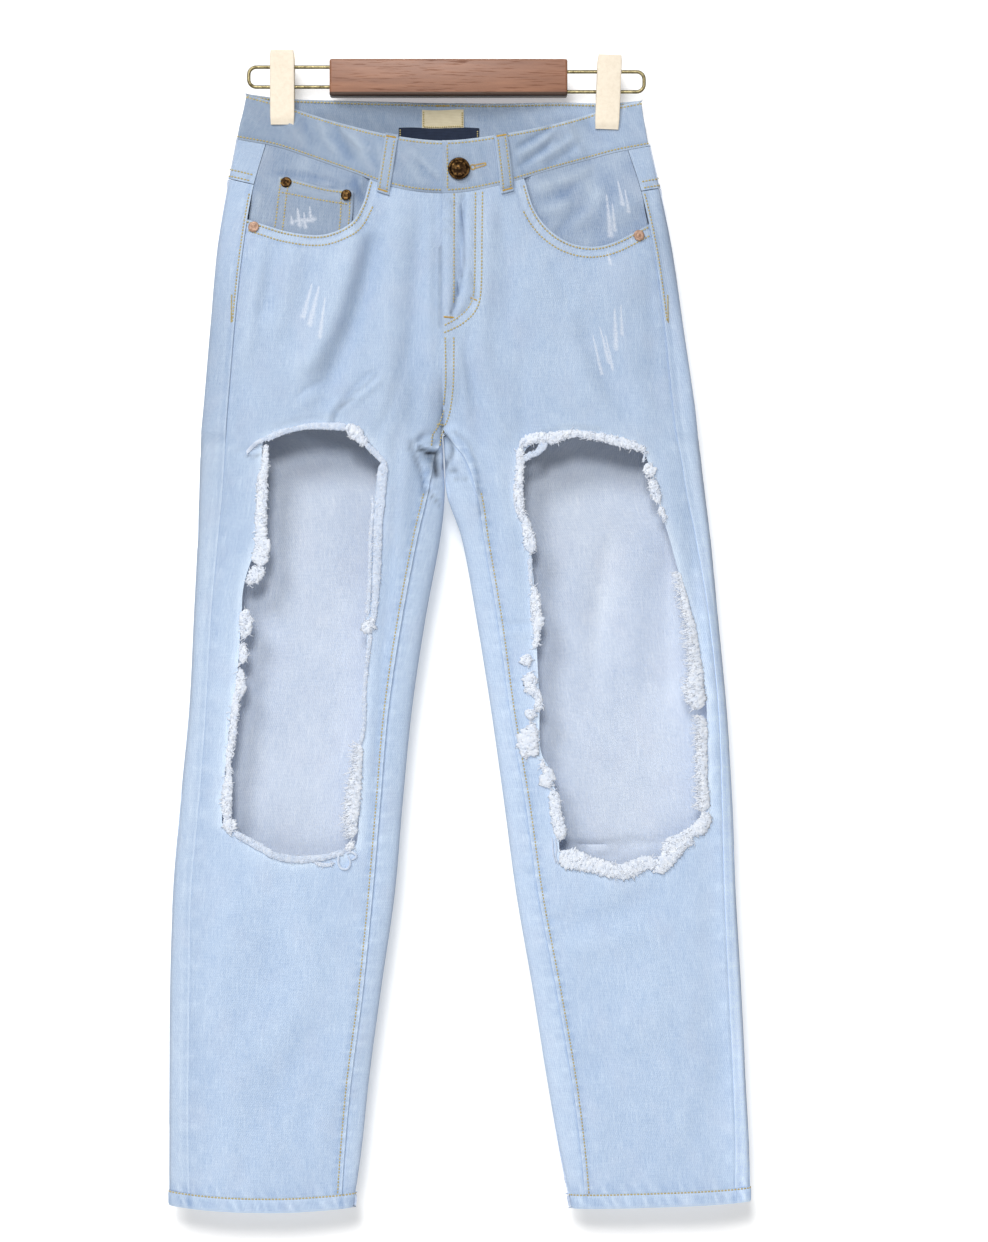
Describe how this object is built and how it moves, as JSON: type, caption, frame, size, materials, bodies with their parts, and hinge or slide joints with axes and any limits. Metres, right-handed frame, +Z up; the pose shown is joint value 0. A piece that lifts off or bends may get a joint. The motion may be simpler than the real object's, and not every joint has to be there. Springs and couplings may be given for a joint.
{
  "type": "ripped jeans on a clip hanger",
  "caption": "Pale ankle-length jeans with a large frayed hole in each thigh, hanging empty by the waistband from a wooden clip hanger.",
  "frame": {"origin": "middle of the flat top of the hanger's wooden bar, mount bar_top", "axes": "-Y is the front of the jeans, +X is the wearer's left, +Z is up; the jeans hang down from the bar"},
  "size_m": [0.5035, 0.0686, 1.0006],
  "materials": {
    "denim": "light washed cotton twill with tan topstitching",
    "fray": "loose white weft threads",
    "zip_tape": "woven tape",
    "label_cream": "plain woven label",
    "label_navy": "plain woven label",
    "dark_brass": "antique, satin",
    "light_copper": "worn copper plate",
    "wood": "stained, satin lacquer",
    "wire": "antique brass plate",
    "clip_gold": "pale gold plate, satin"
  },
  "bodies": {
    "root": {"back_left": "denim", "back_pocket_left": "denim", "back_pocket_right": "denim", "back_right": "denim", "belt_loop_1": "denim", "belt_loop_2": "denim", "belt_loop_3": "denim", "belt_loop_4": "denim", "belt_loop_5": "denim", "button": "dark_brass", "clip_left_back": "clip_gold", "clip_left_front": "clip_gold", "clip_left_spring": "wire", "clip_right_back": "clip_gold", "clip_right_front": "clip_gold", "clip_right_spring": "wire", "coin_pocket": "denim", "facing_left": "denim", "facing_right": "denim", "fly_shield": "denim", "fray_left": "fray", "fray_right": "fray", "front_left": "denim", "front_right": "denim", "hanger_bar": "wood", "hanger_wire_left": "wire", "hanger_wire_right": "wire", "hem_left": "denim", "hem_right": "denim", "label_cream": "label_cream", "label_navy": "label_navy", "rivet_1": "light_copper", "rivet_2": "dark_brass", "rivet_3": "dark_brass", "rivet_4": "light_copper", "waistband": "denim", "yoke_left": "denim", "yoke_right": "denim", "zip": "zip_tape"}
  },
  "joints": []
}
